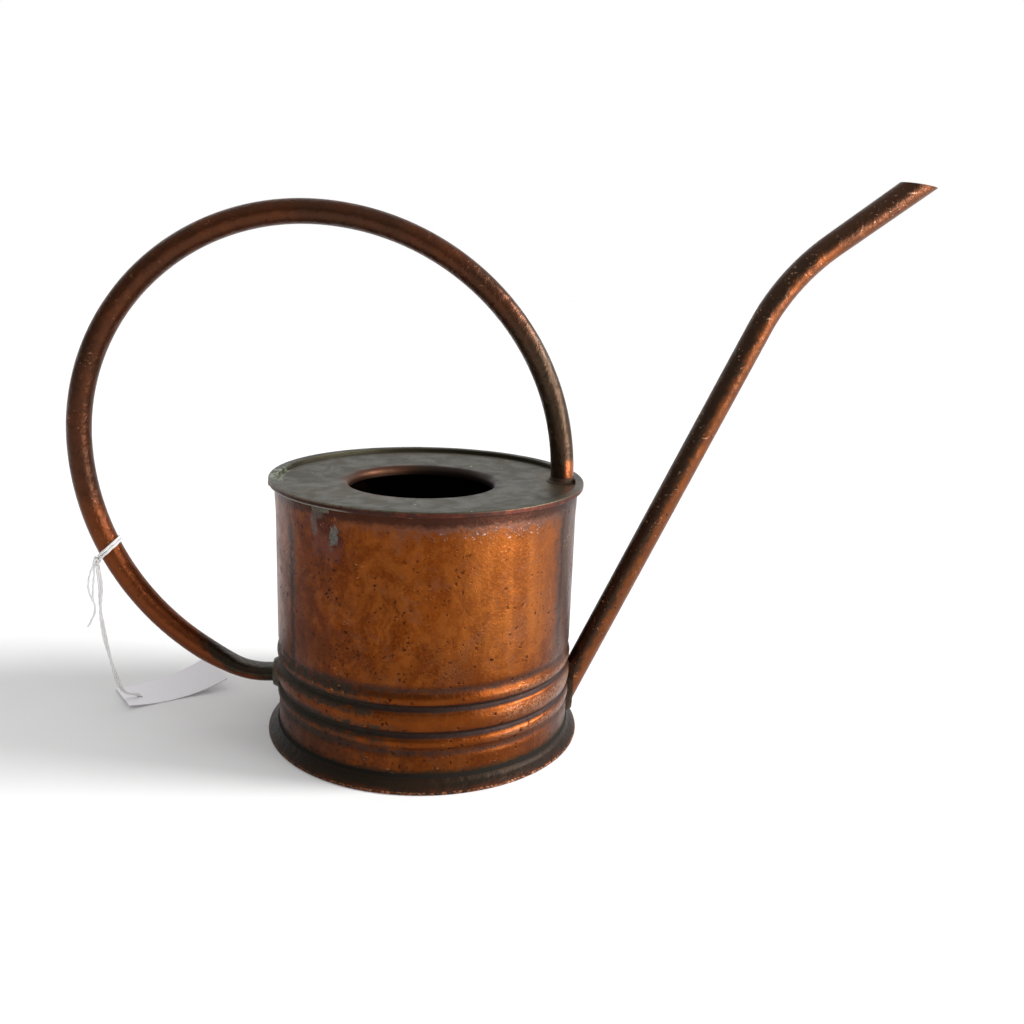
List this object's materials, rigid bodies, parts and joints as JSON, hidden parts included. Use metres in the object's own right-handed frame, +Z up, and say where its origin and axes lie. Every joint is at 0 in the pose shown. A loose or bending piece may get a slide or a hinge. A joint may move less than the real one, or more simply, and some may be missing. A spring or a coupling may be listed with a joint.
{
  "type": "watering can",
  "caption": "Round indoor watering can of soldered copper with a ring handle, a long thin spout and a card tag tied on with string.",
  "frame": {"origin": "centre of the foot, on the floor", "axes": "+Z up, +X towards the spout, so the handle's ring lies in the X-Z plane"},
  "size_m": [0.3954, 0.152, 0.2665],
  "materials": {
    "copper": "worn satin with dark patina",
    "lid_copper": "dull with verdigris",
    "foot_copper": "dull dark patina",
    "handle_copper": "satin, handled",
    "spout_copper": "satin, handled",
    "solder": "dull grey",
    "string": "twisted cotton",
    "card": "matt"
  },
  "bodies": {
    "root": {"body_shell": "copper", "base_plate": "foot_copper", "top_plate": "lid_copper", "handle": "handle_copper", "spout": "spout_copper", "handle_top_solder": "solder", "handle_low_solder": "solder", "spout_solder": "solder", "foot_solder": "solder", "rim_solder": "solder", "string_wrap": "string", "tag_string": "string", "string_end": "string", "tag": "card"}
  },
  "joints": []
}
